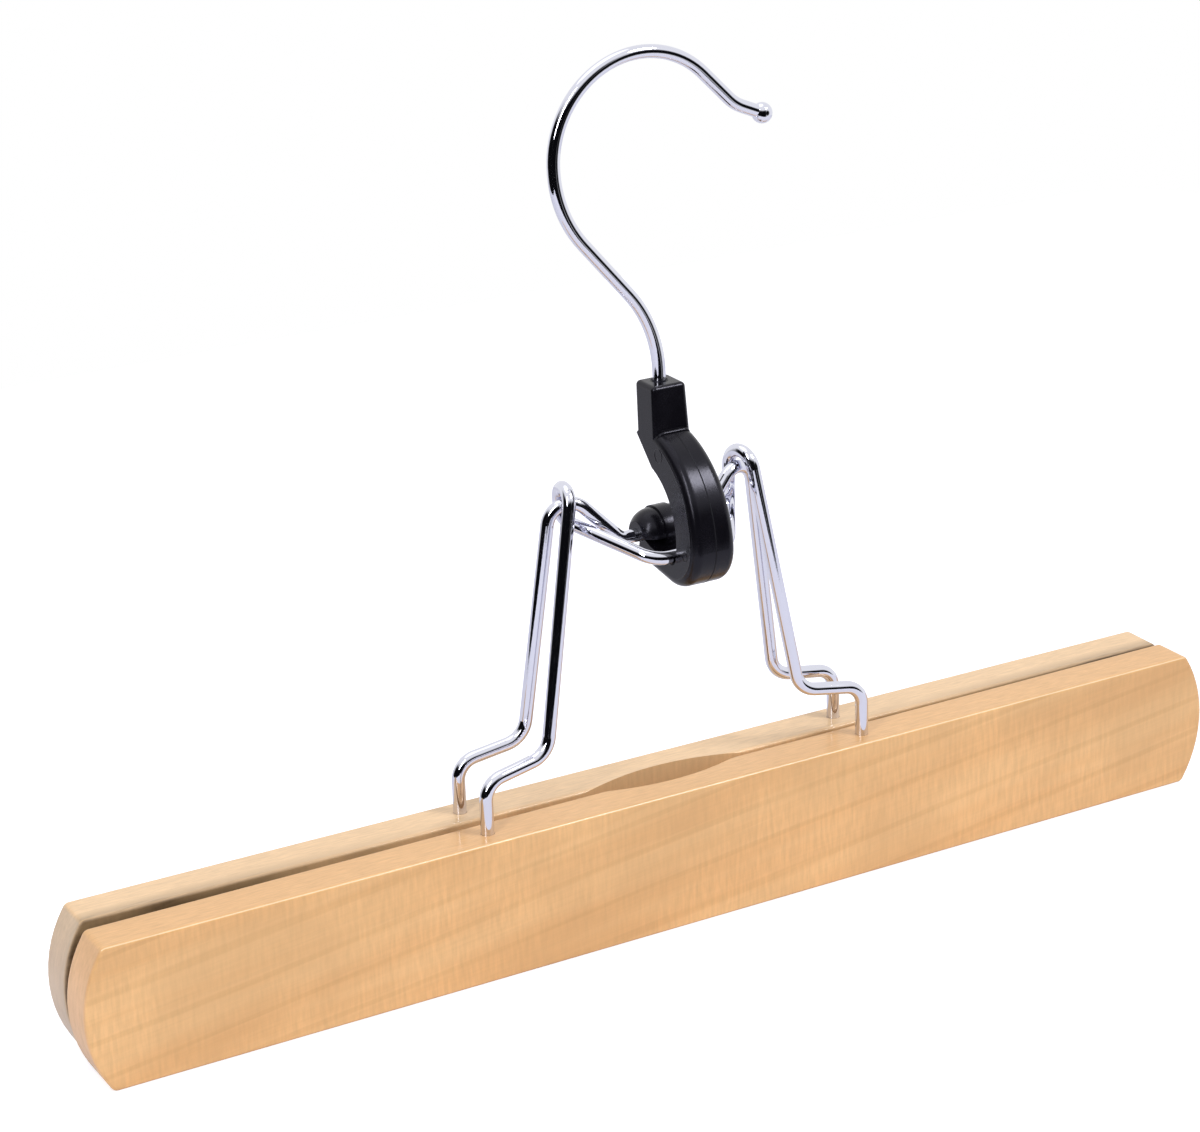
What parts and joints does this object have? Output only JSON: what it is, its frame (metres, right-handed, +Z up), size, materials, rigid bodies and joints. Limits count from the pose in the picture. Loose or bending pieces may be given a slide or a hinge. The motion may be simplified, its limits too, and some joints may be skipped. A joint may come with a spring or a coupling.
{
  "type": "skirt hanger",
  "caption": "Wooden clamp bars on crossed wire bows, opened and closed by a black plastic cam lever under a swivelling wire hook.",
  "frame": {"origin": "centre of the jaw mouth, between the bars' inner faces at mid-length, level with the bars' undersides", "axes": "+X along the bars, +Y from the front bar to the back bar, +Z up towards the hook"},
  "size_m": [0.2796, 0.0352, 0.1917],
  "materials": {
    "wood": "satin lacquer on pale hardwood",
    "wire": "bright chrome plate",
    "lever": "satin black moulding"
  },
  "bodies": {
    "back_jaw": {"back_bar": "wood", "back_bow": "wire"},
    "front_jaw": {"front_bar": "wood", "front_bow": "wire"},
    "lever": {"cam_lever": "lever"},
    "hook": {"swivel_hook": "wire"}
  },
  "joints": [
    {"name": "lever_pivot", "type": "hinge", "parent": "back_jaw", "child": "lever", "pos_m": [0, -0.0003, 0.0882], "axis": [1, 0, 0], "range_deg": [0, 80]},
    {"name": "jaw_pivot", "type": "hinge", "parent": "back_jaw", "child": "front_jaw", "pos_m": [0, 0.0024, 0.0974], "axis": [1, 0, 0], "range_deg": [-16, 0]},
    {"name": "hook_swivel", "type": "hinge", "parent": "lever", "child": "hook", "pos_m": [0, -0.001, 0.1214], "axis": [0, 0, 1], "continuous": true}
  ],
  "couplings": [
    {"joint": "jaw_pivot", "follows": "lever_pivot", "ratio": -0.2}
  ]
}
